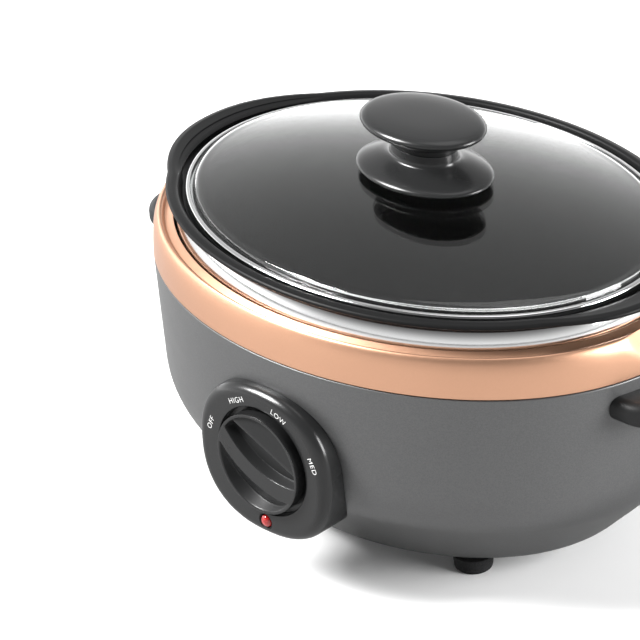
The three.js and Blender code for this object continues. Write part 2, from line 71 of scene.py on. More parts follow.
ovalY = (casingLow.y + casingHigh.y) / 2
place = Matrix.Translation((0, ovalY * mm, 0)) @ Matrix.Scale(mm, 4)
trimOval = (trimHigh.x, trimHigh.y - ovalY)
collarMargin = 0.3  # the collar stands this far inside its node's box
collarOval = (collarHigh.x - collarMargin, collarHigh.y - ovalY - collarMargin)
lidOval = (lidHigh.x, lidHigh.y - ovalY)
dialHeight = (dialLow.z + dialHigh.z) / 2
lensHeight = (lensLow.z + lensHigh.z) / 2
glandHeight = (glandLow.z + glandHigh.z) / 2
footSpots = {}
for spot in ("front_left", "front_right", "rear_left", "rear_right"):
    low, high = nodeBox("foot_" + spot)
    footSpots[spot] = ((low.x + high.x) / 2, (low.y + high.y) / 2)
print("frame read")


# Finishes: shared effects first

def newGroup(name, inputs, outputs):
    group = bpy.data.node_groups.new(name, "ShaderNodeTree")
    for title, kind, value in inputs:
        socket = group.interface.new_socket(title, in_out="INPUT", socket_type=kind)
        if value is not None:
            socket.default_value = value
    for title, kind in outputs:
        group.interface.new_socket(title, in_out="OUTPUT", socket_type=kind)
    return group, group.nodes.new("NodeGroupInput"), group.nodes.new("NodeGroupOutput")


def addNode(tree, kind, inputs=(), **settings):
    node = tree.nodes.new(kind)
    for key, value in settings.items():
        setattr(node, key, value)
    for socket, value in dict(inputs).items():
        if isinstance(value, bpy.types.NodeSocket):
            tree.links.new(value, node.inputs[socket])
        else:
            node.inputs[socket].default_value = value
    return node


# Noise of any stretch, spread between two values
def makeGrainGroup():
    group, start, end = newGroup(
        "grain",
        [("Vector", "NodeSocketVector", None), ("Stretch", "NodeSocketVector", (1, 1, 1)),
         ("Scale", "NodeSocketFloat", 500), ("Detail", "NodeSocketFloat", 3),
         ("Low", "NodeSocketFloat", 0), ("High", "NodeSocketFloat", 1)],
        [("Value", "NodeSocketFloat")])
    stretched = addNode(group, "ShaderNodeVectorMath",
                        {0: start.outputs["Vector"], 1: start.outputs["Stretch"]}, operation="MULTIPLY")
    noise = addNode(group, "ShaderNodeTexNoise",
                    {"Vector": stretched.outputs[0], "Scale": start.outputs["Scale"],
                     "Detail": start.outputs["Detail"], "Roughness": 0.6})
    spread = addNode(group, "ShaderNodeMapRange",
                     {"Value": noise.outputs["Fac"], "From Min": 0.3, "From Max": 0.7,
                      "To Min": start.outputs["Low"], "To Max": start.outputs["High"]})
    group.links.new(spread.outputs["Result"], end.inputs["Value"])
    return group


# Small facets of paint flake: a random value for each cell
def makeFlakeGroup():
    group, start, end = newGroup(
        "flake",
        [("Vector", "NodeSocketVector", None), ("Scale", "NodeSocketFloat", 3000),
         ("Low", "NodeSocketFloat", 0), ("High", "NodeSocketFloat", 1)],
        [("Value", "NodeSocketFloat")])
    cells = addNode(group, "ShaderNodeTexVoronoi",
                    {"Vector": start.outputs["Vector"], "Scale": start.outputs["Scale"]})
    parts = addNode(group, "ShaderNodeSeparateColor", {"Color": cells.outputs["Color"]})
    spread = addNode(group, "ShaderNodeMapRange",
                     {"Value": parts.outputs["Red"], "To Min": start.outputs["Low"],
                      "To Max": start.outputs["High"]})
    group.links.new(spread.outputs["Result"], end.inputs["Value"])
    return group


# Two shades of one finish, drifting over a few centimetres
def makeDriftGroup():
    group, start, end = newGroup(
        "drift",
        [("Vector", "NodeSocketVector", None), ("Scale", "NodeSocketFloat", 12),
         ("Shade One", "NodeSocketColor", (0.5, 0.5, 0.5, 1)),
         ("Shade Two", "NodeSocketColor", (0.5, 0.5, 0.5, 1)),
         ("Speck", "NodeSocketFloat", 0.5)],
        [("Color", "NodeSocketColor")])
    noise = addNode(group, "ShaderNodeTexNoise",
                    {"Vector": start.outputs["Vector"], "Scale": start.outputs["Scale"], "Detail": 2})
    share = addNode(group, "ShaderNodeMath",
                    {0: noise.outputs["Fac"], 1: start.outputs["Speck"]}, operation="ADD")
    ranged = addNode(group, "ShaderNodeMapRange",
                     {"Value": share.outputs[0], "From Min": 0.7, "From Max": 1.3})
    mixed = addNode(group, "ShaderNodeMix",
                    {0: ranged.outputs["Result"], 6: start.outputs["Shade One"],
                     7: start.outputs["Shade Two"]}, data_type="RGBA")
    group.links.new(mixed.outputs[2], end.inputs["Color"])
    return group


# Faint finger marks: soft blotches that raise the roughness
def makeSmudgeGroup():
    group, start, end = newGroup(
        "smudge",
        [("Vector", "NodeSocketVector", None), ("Scale", "NodeSocketFloat", 30),
         ("Base", "NodeSocketFloat", 0.1), ("Amount", "NodeSocketFloat", 0.1)],
        [("Value", "NodeSocketFloat")])
    large = addNode(group, "ShaderNodeTexNoise",
                    {"Vector": start.outputs["Vector"], "Scale": start.outputs["Scale"],
                     "Detail": 4, "Distortion": 0.6})
    mask = addNode(group, "ShaderNodeMapRange",
                   {"Value": large.outputs["Fac"], "From Min": 0.52, "From Max": 0.72},
                   interpolation_type="SMOOTHSTEP")
    total = addNode(group, "ShaderNodeMath",
                    {0: mask.outputs["Result"], 1: start.outputs["Amount"], 2: start.outputs["Base"]},
                    operation="MULTIPLY_ADD")
    group.links.new(total.outputs[0], end.inputs["Value"])
    return group


grainGroup = makeGrainGroup()
flakeGroup = makeFlakeGroup()
driftGroup = makeDriftGroup()
smudgeGroup = makeSmudgeGroup()


def useGroup(tree, group, inputs):
    return addNode(tree, "ShaderNodeGroup", inputs, node_tree=group).outputs[0]


def startMaterial(name, fixed):
    material = bpy.data.materials.new(name)
    material.use_nodes = True
    tree = material.node_tree
    shader = tree.nodes["Principled BSDF"]
    for socket, value in fixed.items():
        shader.inputs[socket].default_value = value
    coordinates = tree.nodes.new("ShaderNodeTexCoord").outputs["Object"]
    return material, tree, shader, coordinates


def addBump(tree, shader, height, depth):
    bump = addNode(tree, "ShaderNodeBump", {"Strength": 1, "Distance": depth, "Height": height})
    tree.links.new(bump.outputs["Normal"], shader.inputs["Normal"])


def addShade(tree, shader, where, look, speck):
    shade = useGroup(tree, driftGroup,
                     {"Vector": where, "Scale": look["driftScale"], "Speck": speck,
                      "Shade One": (*look["shadeOne"], 1), "Shade Two": (*look["shadeTwo"], 1)})
    tree.links.new(shade, shader.inputs["Base Color"])


def addSmudge(tree, shader, where, look):
    gloss = useGroup(tree, smudgeGroup,
                     {"Vector": where, "Scale": look["smudgeScale"],
                      "Base": look["gloss"], "Amount": look["smudge"]})
    tree.links.new(gloss, shader.inputs["Roughness"])


# A finish of two near shades with grain in its gloss and in its surface
def makeFinish(name, look):
    material, tree, shader, where = startMaterial(name, look.get("fixed", {}))
    stretch = look.get("stretch", (1, 1, 1))
    speck = useGroup(tree, grainGroup,
                     {"Vector": where, "Scale": look["speckScale"], "Low": 0.5 - look["speck"],
                      "High": 0.5 + look["speck"], "Stretch": stretch})
    addShade(tree, shader, where, look, speck)
    gloss = useGroup(tree, grainGroup,
                     {"Vector": where, "Scale": look["glossScale"], "Low": look["glossLow"],
                      "High": look["glossHigh"], "Stretch": stretch})
    tree.links.new(gloss, shader.inputs["Roughness"])
    height = useGroup(tree, grainGroup,
                      {"Vector": where, "Scale": look["bumpScale"], "Stretch": stretch})
    addBump(tree, shader, height, look["bumpDepth"])
    return material


# Satin paint with fine metal flake
def makeFlakePaint(name, look):
    material, tree, shader, where = startMaterial(name, look["fixed"])
    flake = useGroup(tree, flakeGroup,
                     {"Vector": where, "Scale": look["flakeScale"], "Low": 0.5 - look["flake"],
                      "High": 0.5 + look["flake"]})
    addShade(tree, shader, where, look, flake)
    addSmudge(tree, shader, where, look)
    height = useGroup(tree, grainGroup, {"Vector": where, "Scale": look["bumpScale"], "Detail": 2.0})
    addBump(tree, shader, height, look["bumpDepth"])
    return material


# Clear finishes keep plain transmission: only their gloss and surface vary
def makeClear(name, look):
    material, tree, shader, where = startMaterial(name, look["fixed"])
    addSmudge(tree, shader, where, look)
    height = useGroup(tree, grainGroup, {"Vector": where, "Scale": look["bumpScale"], "Detail": 1.0})
    addBump(tree, shader, height, look["bumpDepth"])
    return material


casingLook = {
    "fixed": {"Metallic": 0.55, "Specular IOR Level": 0.5, "Coat Weight": 0.12, "Coat Roughness": 0.3},
    "shadeOne": (0.118, 0.119, 0.120), "shadeTwo": (0.138, 0.139, 0.140),
    "flakeScale": 2600, "flake": 0.5, "driftScale": 9,
    "gloss": 0.38, "smudge": 0.03, "smudgeScale": 18, "bumpScale": 1800, "bumpDepth": 0.000006,
}
roseGoldLook = {
    "fixed": {"Metallic": 0.95, "Specular IOR Level": 0.5, "Coat Weight": 0.2, "Coat Roughness": 0.25},
    "shadeOne": (0.725, 0.405, 0.26), "shadeTwo": (0.755, 0.425, 0.275), "speck": 0.15, "speckScale": 900,
    "driftScale": 14, "glossScale": 700, "glossLow": 0.33, "glossHigh": 0.38,
    "bumpScale": 1400, "bumpDepth": 0.000001,
}
polishedSteelLook = {
    "fixed": {"Metallic": 1.0},
    "shadeOne": (0.80, 0.805, 0.81), "shadeTwo": (0.86, 0.86, 0.86), "speck": 0.1, "speckScale": 700,
    "driftScale": 20, "stretch": (1, 1, 12), "glossScale": 220, "glossLow": 0.10, "glossHigh": 0.13,
    "bumpScale": 260, "bumpDepth": 0.0000001,
}
plainSteelLook = {
    "fixed": {"Metallic": 1.0},
    "shadeOne": (0.52, 0.53, 0.54), "shadeTwo": (0.62, 0.63, 0.64), "speck": 0.25, "speckScale": 300,
    "driftScale": 30, "stretch": (1, 1, 8), "glossScale": 160, "glossLow": 0.26, "glossHigh": 0.42,
    "bumpScale": 400, "bumpDepth": 0.00001,
}
nonStickLook = {
    "fixed": {"Metallic": 0.0, "Specular IOR Level": 0.11},
    "shadeOne": (0.0085, 0.0086, 0.0088), "shadeTwo": (0.010, 0.0101, 0.0103), "speck": 0.2, "speckScale": 2400,
    "driftScale": 16, "glossScale": 1200, "glossLow": 0.36, "glossHigh": 0.40,
    "bumpScale": 1500, "bumpDepth": 0.0000002,
}
greyPlasticLook = {
    "fixed": {"Metallic": 0.0, "Specular IOR Level": 0.42},
    "shadeOne": (0.0165, 0.0168, 0.0171), "shadeTwo": (0.0185, 0.0188, 0.0191), "speck": 0.15, "speckScale": 2600,
    "driftScale": 22, "glossScale": 1500, "glossLow": 0.21, "glossHigh": 0.25,
    "bumpScale": 2600, "bumpDepth": 0.0000005,
}
blackPlasticLook = {
    "fixed": {"Metallic": 0.0, "Specular IOR Level": 0.3},
    "shadeOne": (0.014, 0.0143, 0.0147), "shadeTwo": (0.0165, 0.0168, 0.0171), "speck": 0.3, "speckScale": 2200,
    "driftScale": 25, "glossScale": 1400, "glossLow": 0.38, "glossHigh": 0.5,
    "bumpScale": 2300, "bumpDepth": 0.000012,
}
rubberLook = {
    "fixed": {"Metallic": 0.0, "Specular IOR Level": 0.3},
    "shadeOne": (0.012, 0.012, 0.013), "shadeTwo": (0.022, 0.022, 0.022), "speck": 0.4, "speckScale": 1500,
    "driftScale": 60, "glossScale": 900, "glossLow": 0.7, "glossHigh": 0.9,
    "bumpScale": 1600, "bumpDepth": 0.00008,
}
micaLook = {
    "fixed": {"Metallic": 0.0},
    "shadeOne": (0.42, 0.34, 0.22), "shadeTwo": (0.56, 0.47, 0.33), "speck": 0.4, "speckScale": 500,
    "driftScale": 40, "stretch": (1, 1, 4), "glossScale": 500, "glossLow": 0.5, "glossHigh": 0.75,
    "bumpScale": 500, "bumpDepth": 0.00006,
}
palePlasticLook = {
    "fixed": {"Metallic": 0.0},
    "shadeOne": (0.72, 0.70, 0.64), "shadeTwo": (0.80, 0.78, 0.73), "speck": 0.2, "speckScale": 1500,
    "driftScale": 50, "glossScale": 900, "glossLow": 0.4, "glossHigh": 0.52,
    "bumpScale": 1500, "bumpDepth": 0.00003,
}
insulationLook = {
    "fixed": {"Metallic": 0.0},
    "speck": 0.25, "speckScale": 1500, "driftScale": 80, "glossScale": 900, "glossLow": 0.42,
    "glossHigh": 0.58, "bumpScale": 1200, "bumpDepth": 0.00003,
}
inkLook = {
    "fixed": {"Metallic": 0.0},
    "speck": 0.2, "speckScale": 3000, "driftScale": 90, "glossScale": 2000, "glossLow": 0.45,
    "glossHigh": 0.6, "bumpScale": 3000, "bumpDepth": 0.00001,
}
lidGlassLook = {
    "fixed": {"Base Color": (0.97, 0.985, 0.98, 1), "Metallic": 0.0, "Transmission Weight": 1.0, "IOR": 1.5},
    "gloss": 0.004, "smudge": 0.02, "smudgeScale": 26, "bumpScale": 40, "bumpDepth": 0.0000003,
}
lampGlassLook = {
    "fixed": {"Base Color": (1.0, 0.93, 0.88, 1), "Metallic": 0.0, "Transmission Weight": 1.0, "IOR": 1.47},
    "gloss": 0.02, "smudge": 0.05, "smudgeScale": 200, "bumpScale": 300, "bumpDepth": 0.00001,
}
redLensLook = {
    "fixed": {"Metallic": 0.0, "Coat Weight": 1.0, "Coat Roughness": 0.04, "Specular IOR Level": 0.5},
    "shadeOne": (0.62, 0.012, 0.010), "shadeTwo": (0.30, 0.004, 0.004), "speck": 0.5, "speckScale": 500,
    "driftScale": 260, "glossScale": 300, "glossLow": 0.1, "glossHigh": 0.22,
    "bumpScale": 500, "bumpDepth": 0.00012,
}

finishes = {
    "grey_paint": makeFlakePaint("greyPaint", casingLook),
    "rose_gold": makeFinish("roseGold", roseGoldLook),
    "polished_steel": makeFinish("polishedSteel", polishedSteelLook),
    "plain_steel": makeFinish("plainSteel", plainSteelLook),
    "non_stick": makeFinish("nonStick", nonStickLook),
    "grey_plastic": makeFinish("greyPlastic", greyPlasticLook),
    "black_plastic": makeFinish("blackPlastic", blackPlasticLook),
    "rubber": makeFinish("rubber", rubberLook),
    "mica": makeFinish("mica", micaLook),
    "pale_plastic": makeFinish("palePlastic", palePlasticLook),
    "red_lens": makeFinish("redLens", redLensLook),
    "lid_glass": makeClear("lidGlass", lidGlassLook),
    "lamp_glass": makeClear("lampGlass", lampGlassLook),
}
insulationShades = {"red": ((0.42, 0.035, 0.025), (0.5, 0.05, 0.035)),
                    "blue": ((0.04, 0.13, 0.40), (0.05, 0.17, 0.48)),
                    "green": ((0.13, 0.32, 0.04), (0.45, 0.50, 0.06))}
for colour, (one, two) in insulationShades.items():
    finishes[colour + "_insulation"] = makeFinish(colour + "Insulation",
                                                  {**insulationLook, "shadeOne": one, "shadeTwo": two})
paleInk = makeFinish("paleInk", {**inkLook, "shadeOne": (0.82, 0.82, 0.81), "shadeTwo": (0.9, 0.9, 0.89)})
darkInk = makeFinish("darkInk", {**inkLook, "shadeOne": (0.018, 0.018, 0.018),
                                 "shadeTwo": (0.026, 0.026, 0.026)})

# Every carried-over node takes the finish of its slot in the record
nodeSlots = {part["node"]: part["material_slot"] for part in frame["record"]["subparts"]}
for name, node in nodes.items():
    node.data.materials.clear()
    node.data.materials.append(finishes[nodeSlots[name]])
print("finishes made")


# Shaping helpers

# Rounds the corners of a profile. A point is (half length, half width, height, corner size, ear share).
def soften(points, closed=True, steps=5):
    line = []
    count = len(points)
    for i, point in enumerate(points):
        long, short, height, *rest = point
        corner, ear = (list(rest) + [0, 0])[:2]
        here = Vector((long, short, height, ear))
        if not corner or (not closed and i in (0, count - 1)):
            line.append(here)
            continue
        ends = []
        for other in (points[i - 1], points[(i + 1) % count]):
            toward = Vector((*other[:3], other[4] if len(other) > 4 else 0)) - here
            ends.append(here + toward.normalized() * min(corner, toward.length / 2))
        for k in range(steps + 1):
            share = k / steps
            line.append(ends[0] * (1 - share) ** 2 + here * 2 * share * (1 - share) + ends[1] * share ** 2)
    return line


def arc(distance, height, radius, start, end, steps):
    angles = [math.radians(start + (end - start) * i / steps) for i in range(steps + 1)]
    return [(distance + radius * math.cos(a), height + radius * math.sin(a)) for a in angles]


# Spins a profile about the height axis, then draws each ring in to its own half width.
def spinOval(profile, closed=True, steps=192, bulge=None):
    bm = bmesh.new()
    width = bm.verts.layers.float.new("width")
    ear = bm.verts.layers.float.new("ear")
    points = []
    for long, short, height, earShare in profile:
        point = bm.verts.new((long, 0, height))
        point[width] = short / long if long else 1
        point[ear] = earShare
        points.append(point)
    pairs = list(zip(points, points[1:]))
    if closed:
        pairs.append((points[-1], points[0]))
    edges = [bm.edges.new(pair) for pair in pairs]
    bmesh.ops.spin(bm, geom=points + edges, cent=(0, 0, 0), axis=(0, 0, 1), angle=2 * math.pi,
                   steps=steps, use_merge=True, use_duplicate=False)
    for v in bm.verts:
        v.co.y *= v[width]
        if bulge:
            v.co.x += math.copysign(v[ear] * bulge(v.co.y), v.co.x) if abs(v.co.x) > 1 else 0
    bmesh.ops.remove_doubles(bm, verts=bm.verts, dist=0.0005)
    bmesh.ops.recalc_face_normals(bm, faces=bm.faces)
    return bm


def spinRound(points, closed=True, steps=48, corners=4):
    return spinOval(soften([(r, r, *rest) for r, *rest in points], closed, corners), closed, steps)


def turned(bm, matrix):
    bmesh.ops.transform(bm, matrix=matrix, verts=bm.verts)
    return bm


front, back = 90, -90  # turns about x, in degrees


# Stands a shape made about the height axis so that its top faces the front or the back, at x and z.
def facing(bm, direction, x, z):
    return turned(bm, Matrix.Translation((x, 0, z)) @ Matrix.Rotation(math.radians(direction), 4, "X"))


def finishPiece(name, bm, body, slotName, replaced=(), material=None, sharp=35, atOval=True):
    bmesh.ops.transform(bm, matrix=place if atOval else Matrix.Scale(mm, 4), verts=bm.verts)
    mesh = bpy.data.meshes.new(name)
    bm.to_mesh(mesh)
    bm.free()
    mesh.shade_smooth()
    mesh.set_sharp_from_angle(angle=math.radians(sharp))
    piece = bpy.data.objects.new(name, mesh)
    scene.collection.objects.link(piece)
    mesh.materials.append(material or finishes[slotName])
    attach(piece, body)
    if replaced:
        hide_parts(*replaced)
    return piece


# Cuts one bmesh out of another
def cutOut(bm, cutters):
    meshes = []
    for part in [bm] + cutters:
        mesh = bpy.data.meshes.new("cutting")
        part.to_mesh(mesh)
        part.free()
        meshes.append(mesh)
    held = [bpy.data.objects.new("cutting", mesh) for mesh in meshes]
    for item in held:
        scene.collection.objects.link(item)
    for cutter in held[1:]:
        step = held[0].modifiers.new("cut", "BOOLEAN")
        step.operation = "DIFFERENCE"
        step.solver = "EXACT"
        step.object = cutter
    bpy.context.view_layer.update()
    shaped = held[0].evaluated_get(bpy.context.evaluated_depsgraph_get())
    result = bmesh.new()
    result.from_mesh(shaped.data)
    for item in held:
        bpy.data.objects.remove(item)
    for mesh in meshes:
        bpy.data.meshes.remove(mesh)
    return result


def softMin(a, b, blend):
    near = max(blend - abs(a - b), 0)
    return min(a, b) - near * near / (4 * blend)


def softMax(a, b, blend):
    return -softMin(-a, -b, blend)


def makeBlock(low, high):
    bm = bmesh.new()
    bmesh.ops.create_cube(bm, size=1)
    size = Matrix.Diagonal((*[b - a for a, b in zip(low, high)], 1))
    return turned(bm, Matrix.Translation([(a + b) / 2 for a, b in zip(low, high)]) @ size)


def roundEdges(bm, edges, offset, segments):
    bmesh.ops.bevel(bm, geom=edges, offset=offset, offset_type="OFFSET", segments=segments,
                    profile=0.5, affect="EDGES", material=-1)


# Casing: tapered side, round shoulder, 45 degree skirt and a flat bottom with an opening
casing = {
    "wallTaper": 3, "wallBend": 68.5, "wallAngle": 3, "shoulderRadius": 36, "coneAngle": 45,
    "heelRadius": 28, "heelInset": 60, "openingInset": 68, "widthRatio": 0.83, "sheet": 1.6,
    "topEdge": 1, "dialHole": 5, "cordHole": 6.9, "bottom": casingLow.z, "top": casingHigh.z,
}
shoulderTilt = math.radians(casing["wallAngle"])
shoulderInset = casing["wallTaper"] + casing["shoulderRadius"] * math.cos(shoulderTilt)
shoulderHeight = casing["wallBend"] + casing["shoulderRadius"] * math.sin(shoulderTilt)
heelHeight = casing["bottom"] + casing["heelRadius"]


def sideRing(inset, height, *rest):
    return (trimOval[0] - inset, trimOval[1] - casing["widthRatio"] * inset, height, *rest)


def casingLine(depth):
    shoulder = arc(shoulderInset, shoulderHeight, depth - casing["shoulderRadius"],
                   casing["wallAngle"], casing["coneAngle"], 14)
    heel = arc(casing["heelInset"], heelHeight, depth - casing["heelRadius"], casing["coneAngle"], 90, 10)
    bottomEdge = (casing["openingInset"], casing["bottom"] + depth)
    rest = [sideRing(inset, height, 0) for inset, height in shoulder + heel + [bottomEdge]]
    return [sideRing(depth, casing["top"], casing["topEdge"])] + rest


# How far the side stands in from the trim at a height
def wallInset(height):
    if height >= casing["wallBend"]:
        return (casing["top"] - height) * casing["wallTaper"] / (casing["top"] - casing["wallBend"])
    bend = math.cos(math.radians(casing["coneAngle"]))
    if height >= shoulderHeight - casing["shoulderRadius"] * bend:
        return shoulderInset - math.sqrt(casing["shoulderRadius"] ** 2 - (shoulderHeight - height) ** 2)
    coneTop = (shoulderInset - casing["shoulderRadius"] * bend, shoulderHeight - casing["shoulderRadius"] * bend)
    if height >= heelHeight - casing["heelRadius"] * bend:
        return coneTop[0] + coneTop[1] - height
    return casing["heelInset"] - math.sqrt(max(casing["heelRadius"] ** 2 - (heelHeight - height) ** 2, 0))


# How far the side stands from the oval's middle: to the front at an x, and to either end at a y
def wallFront(x, height):
    long, short = sideRing(wallInset(height), height)[:2]
    return short * math.sqrt(max(1 - (x / long) ** 2, 0))


def wallEnd(y, height):
    long, short = sideRing(wallInset(height), height)[:2]
    return long * math.sqrt(max(1 - (y / short) ** 2, 0))


def rod(radius, low, high, steps=32):
    return spinRound([(0, low), (radius, low), (radius, high), (0, high)], False, steps)


shell = spinOval(soften(casingLine(0) + casingLine(casing["sheet"])[::-1]), steps=224)
casingHoles = [facing(rod(casing["dialHole"], 90, 122), front, 0, dialHeight),
               facing(rod(casing["cordHole"], 90, 122), back, 0, glandHeight)]
shell = cutOut(shell, casingHoles)
finishPiece("casingShell", shell, "base", "grey_paint", ["casing"])
print("casing made")


# Trim band: a leaning outer face, a ridge, a dark groove at the collar, and a scooped facet at each end
trim = {
    "outside": [(0, 124.8, 0.5), (0.03, 133, 9), (0.08, 138.5, 9), (0.16, 142, 9), (0.27, 144.2, 9),
                (0.38, 144.9, 9), (0.48, 143.9, 9)],
    "groove": [(0.56, 142.4, 0.9), (0.93, 145, 0.6)],
    "inside": [(0.93, 142.6, 0), (0.75, 139, 0), (0.62, 134, 0), (0.62, 118.5, 0), (0.23, 118.5, 0),
               (0.23, 124.8, 0)],
    "scoopRadius": 95, "scoopTilt": 28, "scoopAt": (140.2, 144.5), "scoopEdge": 1.6,
    "scoopHalf": 60, "scoopFrom": 100,
}


def bandRing(share, height, corner=0):
    long, short = (t + (c - t) * share for t, c in zip(trimOval, collarOval))
    return (long, short, height, corner)


def scoopEnds(bm):
    tilt = math.radians(trim["scoopTilt"])
    outward = Vector((math.cos(tilt), 0, math.sin(tilt)))
    base = Vector((trim["scoopAt"][0], 0, trim["scoopAt"][1]))
    radius = trim["scoopRadius"]
    for v in bm.verts:
        side = math.copysign(1, v.co.x)
        spot = Vector((abs(v.co.x), v.co.y, v.co.z))
        if abs(spot.y) > trim["scoopHalf"] or spot.x < trim["scoopFrom"]:
            continue
        above = (spot - base).dot(outward)
        limit = radius - math.sqrt(radius ** 2 - spot.y ** 2)
        spot += outward * (softMin(above, limit, trim["scoopEdge"]) - above)
        v.co = (side * spot.x, spot.y, spot.z)


bandLine = [bandRing(*point) for point in trim["outside"] + trim["groove"] + trim["inside"]]
band = spinOval(soften(bandLine, steps=6), steps=288)
scoopEnds(band)
finishPiece("trimBand", band, "base", "rose_gold", ["trim_band"])

# Collar: a rolled ring of polished steel, open below
collar = {
    "outside": [(0, 143.4, 0.2), (-0.4, 146.6, 9), (-1.5, 150.2, 9), (-2.6, 152.7, 9), (-3.5, 153.6, 9),
                (-4.4, 152.8, 9), (-4.8, 150.8, 9)],
    "inside": [(-4.8, 141, 0.3), (-3.8, 141, 0.3), (-3.8, 150.6, 1), (-3.4, 151.9, 0.5), (-2.6, 150.3, 1),
               (-1.5, 146.6, 1), (-1.1, 143.4, 0.2)],
}
collarLine = [(collarOval[0] + offset, collarOval[1] + offset, height, corner)
              for offset, height, corner in collar["outside"] + collar["inside"]]
finishPiece("collarRing", spinOval(soften(collarLine), steps=224), "base", "polished_steel", ["rim_ring"])
print("trim and collar made")


# Liner: the tapered steel bowl that the pot sits in
liner = {"top": (130.4, 99.6, 148), "heel": (117.5, 85, 60), "corner": 20, "sheet": 1}


def linerLine(depth):
    long, short, height = liner["heel"]
    turn = arc(-liner["corner"], height, liner["corner"] - depth, 0, -90, 12)
    top = (liner["top"][0] - depth, liner["top"][1] - depth, liner["top"][2], 0.3)
    floor = (0, 0, height - liner["corner"] + depth)
    return [top] + [(long + inset, short + inset, z) for inset, z in turn] + [floor]


linerShell = spinOval(soften(linerLine(0)[::-1] + linerLine(liner["sheet"]), closed=False), False, 160)
finishPiece("linerBowl", linerShell, "base", "plain_steel", ["liner"])

# Feet: hollow rubber cups
foot = {
    "profile": [(4.6, 0, 0.5), (8.4, 0, 1), (9.4, 1, 1.2), (10, 7.9, 0.3), (2, 7.9), (2, 4.6), (4.6, 4.6, 0.4)],
    "steps": 40,
}
for spot, centre in footSpots.items():
    cup = turned(spinRound(foot["profile"], steps=foot["steps"]), Matrix.Translation((*centre, 0)))
    finishPiece("foot." + spot.replace("_", "."), cup, "base", "rubber", ["foot_" + spot], atOval=False)
print("liner and feet made")


# Control housing: a squarish oval drum with a round shoulder and a sunk well for the dial
housing = {
    "half": (41.8, 39.3), "power": 2.35, "centre": (-1.2, 69.1), "shoulder": 5.5, "wall": 2.5, "plate": 7.5,
    "wellRadius": 28.2, "wellDepth": 5, "wellEdge": 1.1, "lensHole": 3.5, "lensSeat": 4.3, "seatDepth": 1.3,
    "gap": 0.3, "bore": 5.2, "steps": 200, "face": ovalY - bezelLow.y,
}


def makeHousing(h):
    face = h["face"]
    half = h["half"]
    bore = h["bore"]
    inner = (half[0] - h["wall"], half[1] - h["wall"])
    wellAt = (-h["centre"][0], dialHeight - h["centre"][1])
    shoulder = [(h["shoulder"] * (1 - math.sin(a)), face - h["shoulder"] * (1 - math.cos(a)))
                for a in (math.radians(90 * (1 - k / 10)) for k in range(1, 11))]
    outer = [(0, face - h["shoulder"])] + shoulder
    radius, floor = h["wellRadius"], face - h["wellDepth"]
    well = [(radius + h["wellEdge"], face, 0.01), (radius, face, h["wellEdge"]), (radius, floor, 0.5),
            (10, floor, 0.01), (bore, floor, 0.2)]
    rounded = soften([(r, r, z, corner) for r, z, corner in well], closed=False)
    plateBack = face - h["plate"]
    bm = bmesh.new()
    rings = []

    def addRing(long, short, height, shift, power, onWall=False):
        ring = bmesh.ops.create_circle(bm, segments=h["steps"], radius=1)["verts"]
        for v in ring:
            x = long * math.copysign(abs(v.co.x) ** (2 / power), v.co.x)
            y = short * math.copysign(abs(v.co.y) ** (2 / power), v.co.y)
            x, y = x + shift[0], y + shift[1]
            if onWall:
                height = wallFront(x + h["centre"][0], y + h["centre"][1]) + h["gap"]
            v.co = (x, y, height)
        rings.append(ring)

    addRing(*half, 0, (0, 0), h["power"], True)
    for inset, height in outer:
        addRing(half[0] - inset, half[1] - inset, height, (0, 0), h["power"])
    for long, short, height, _ in rounded:
        addRing(long, short, height, wellAt, 2)
    addRing(bore, bore, plateBack, wellAt, 2)
    addRing(*inner, plateBack, (0, 0), h["power"])
    addRing(*inner, 0, (0, 0), h["power"], True)
    loops = []
    for ring in rings:
        inRing = set(ring)
        loops.append([e for v in ring for e in v.link_edges if e.other_vert(v) in inRing])
    for one, two in zip(loops, loops[1:] + loops[:1]):
        bmesh.ops.bridge_loops(bm, edges=list(set(one + two)))
    bmesh.ops.recalc_face_normals(bm, faces=bm.faces)
    drum = facing(bm, front, *h["centre"])
    return cutOut(drum, [facing(rod(h["lensHole"], 100, 130), front, 0, lensHeight),
                         facing(rod(h["lensSeat"], face - h["seatDepth"], 130), front, 0, lensHeight)])


finishPiece("controlHousing", makeHousing(housing), "base", "grey_plastic", ["bezel"], sharp=30)
print("control housing made")


# Dial: a bowed grip bar between two creased fields inside a thin rim
dial = {
    "radius": 25.7, "edge": 0.9, "field": 24.3, "depth": 5.3, "angle": 66.5, "bow": 44.2, "barUpper": 46.3,
    "barLower": 55.1, "crease": 11, "step": 0.7, "stepSlope": -0.2, "lowerCrease": 21.2, "lowerRise": 3,
    "wallSlope": 3.2, "blend": 0.3, "lip": 0.5, "rings": 120, "steps": 384, "socket": 3.3,
    "socketFloor": 118.3, "shadeMargin": 4, "shadeEdge": 0.3, "shadeFrom": 0.35, "shadePast": 0.1,
    "face": ovalY - dialLow.y - 0.03, "back": ovalY - dialHigh.y,  # 0.03 leaves room for the marks
}


